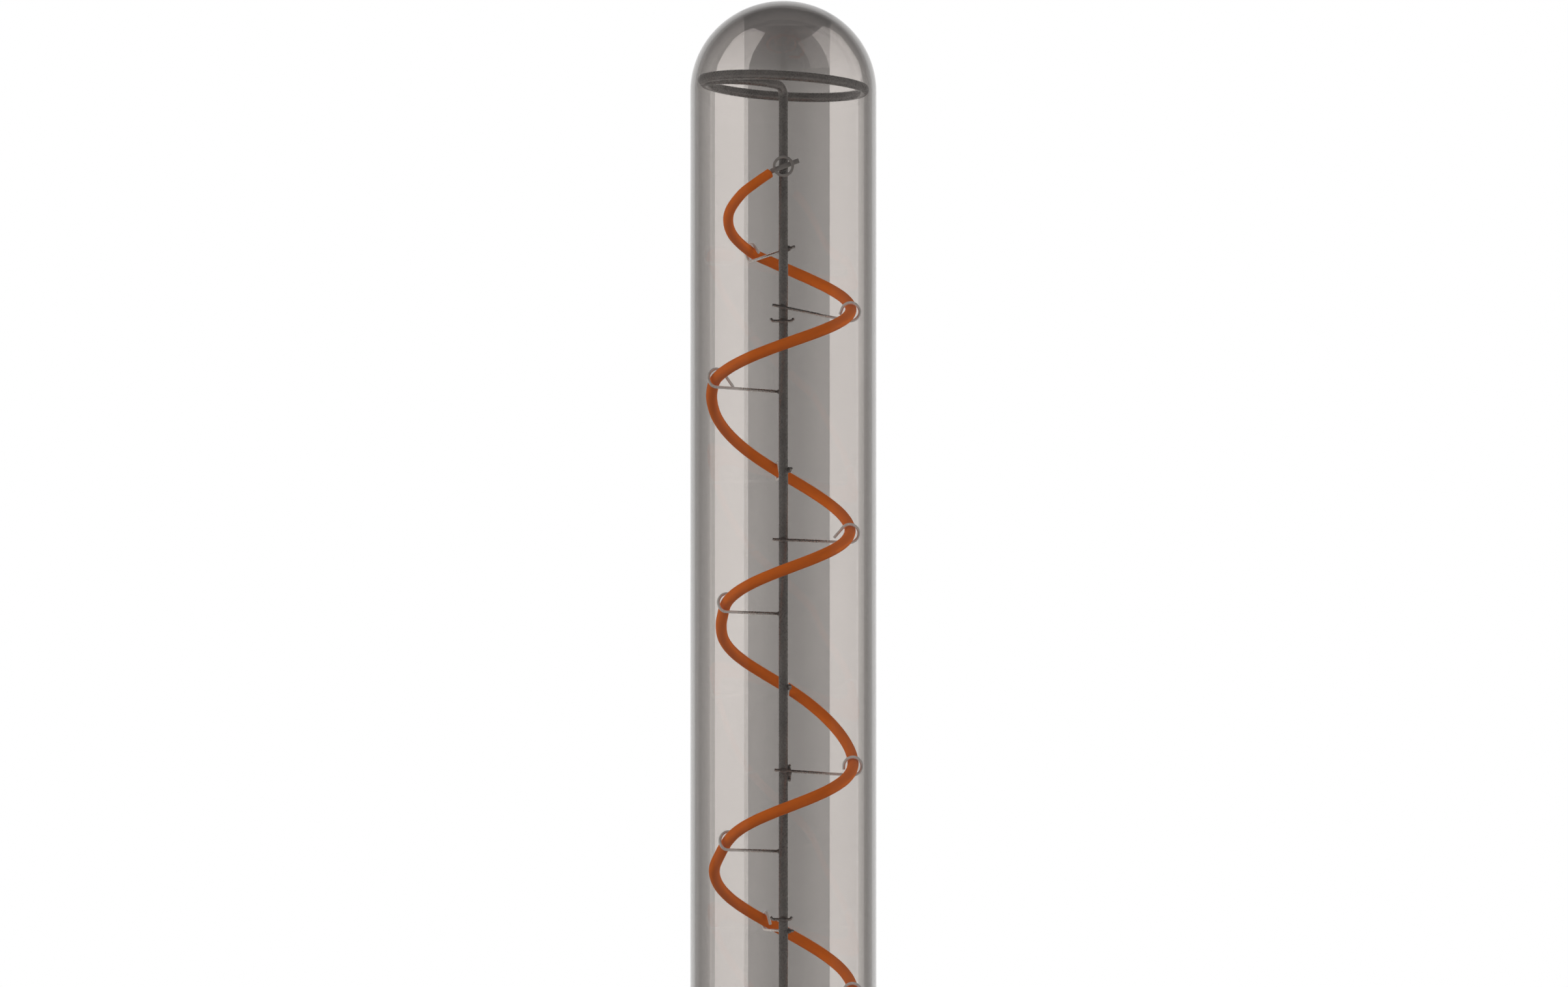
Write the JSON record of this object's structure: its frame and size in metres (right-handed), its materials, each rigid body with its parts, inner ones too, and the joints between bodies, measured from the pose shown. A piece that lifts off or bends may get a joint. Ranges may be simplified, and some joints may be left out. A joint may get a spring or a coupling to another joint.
{
  "type": "decorative light bulb",
  "caption": "Long tubular smoked-glass LED bulb with a spiral amber filament carried on hooks round a central rod, and a screw cap.",
  "frame": {"origin": "centre of the contact's tip, at the foot of the screw cap", "axes": "+Z along the bulb's axis to the domed top; -Y is the side that the picture shows, with +X to its right"},
  "size_m": [0.038, 0.038, 0.3],
  "materials": {
    "smoked_glass": "clear smoke-grey glass, polished",
    "clear_glass": "clear glass, fire polished",
    "rod_steel": "dark drawn steel wire, nickel plated",
    "filament_coat": "satin amber phosphor in silicone",
    "tab_metal": "grey flat metal strip",
    "hook_wire": "bright thin steel wire",
    "lead_metal": "plain lead wire",
    "cement": "matt cement",
    "cap_metal": "rolled shell, nickel plated",
    "black_insulator": "gloss black",
    "contact_metal": "tinned brass",
    "board": "green board",
    "chip_black": "matt black",
    "capacitor_sleeve": "dark sleeve",
    "resistor_body": "blue-grey lacquer"
  },
  "bodies": {
    "root": {"glass_envelope": "smoked_glass", "glass_stem": "clear_glass", "exhaust_tube": "clear_glass", "support_rod": "rod_steel", "filament": "filament_coat", "filament_top_tab": "tab_metal", "filament_bottom_tab": "tab_metal", "filament_end_clip": "hook_wire", "rod_lead_wire": "lead_metal", "filament_lead_wire": "lead_metal", "basing_cement": "cement", "cap_shell": "cap_metal", "cap_insulator": "black_insulator", "centre_contact": "contact_metal", "contact_wire": "lead_metal", "driver_board": "board", "bridge_rectifier": "chip_black", "driver_chip": "chip_black", "smoothing_capacitor": "capacitor_sleeve", "fusible_resistor": "resistor_body", "support_hook_01": "hook_wire", "support_hook_02": "hook_wire", "support_hook_03": "hook_wire", "support_hook_04": "hook_wire", "support_hook_05": "hook_wire", "support_hook_06": "hook_wire", "support_hook_07": "hook_wire", "support_hook_08": "hook_wire", "support_hook_09": "hook_wire", "support_hook_10": "hook_wire", "support_hook_11": "hook_wire", "support_hook_12": "hook_wire", "support_hook_13": "hook_wire", "wire_stub_1": "hook_wire", "wire_stub_2": "hook_wire", "wire_stub_3": "hook_wire"}
  },
  "joints": []
}
